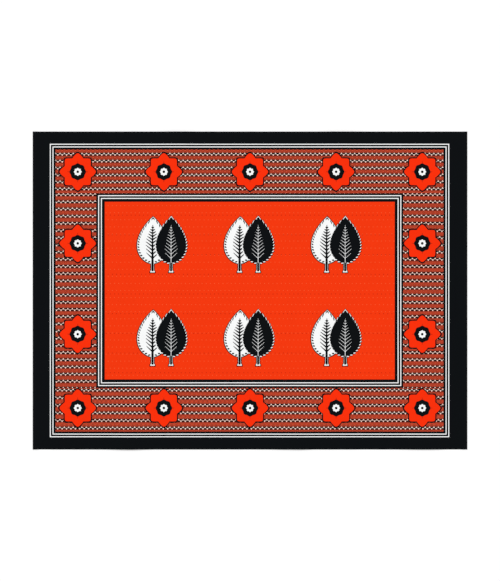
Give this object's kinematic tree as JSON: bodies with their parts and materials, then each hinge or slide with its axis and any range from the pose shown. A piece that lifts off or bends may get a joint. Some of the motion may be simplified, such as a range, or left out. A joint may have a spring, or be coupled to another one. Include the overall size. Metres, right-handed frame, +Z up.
{
  "type": "kanga wrap cloth, laid flat",
  "caption": "Rectangular printed cotton kanga wrap cloth laid out flat, with a framed flower border round an orange field of leaf pairs and a turned hem at each cut end.",
  "frame": {"origin": "on the surface that the cloth lies on, under the middle of the cloth", "axes": "+X along the cloth from one hemmed end to the other, +Y across it from selvedge to selvedge, +Z up, out of the printed face"},
  "size_m": [1.5, 1.097, 0.0038],
  "materials": {
    "printed_cotton": "matt plain-weave cotton, printed orange-red, black and white",
    "hem_cotton": "matt plain-weave cotton, printed black"
  },
  "bodies": {
    "root": {"cloth_panel": "printed_cotton", "hem_left": "hem_cotton", "hem_right": "hem_cotton"}
  },
  "joints": []
}
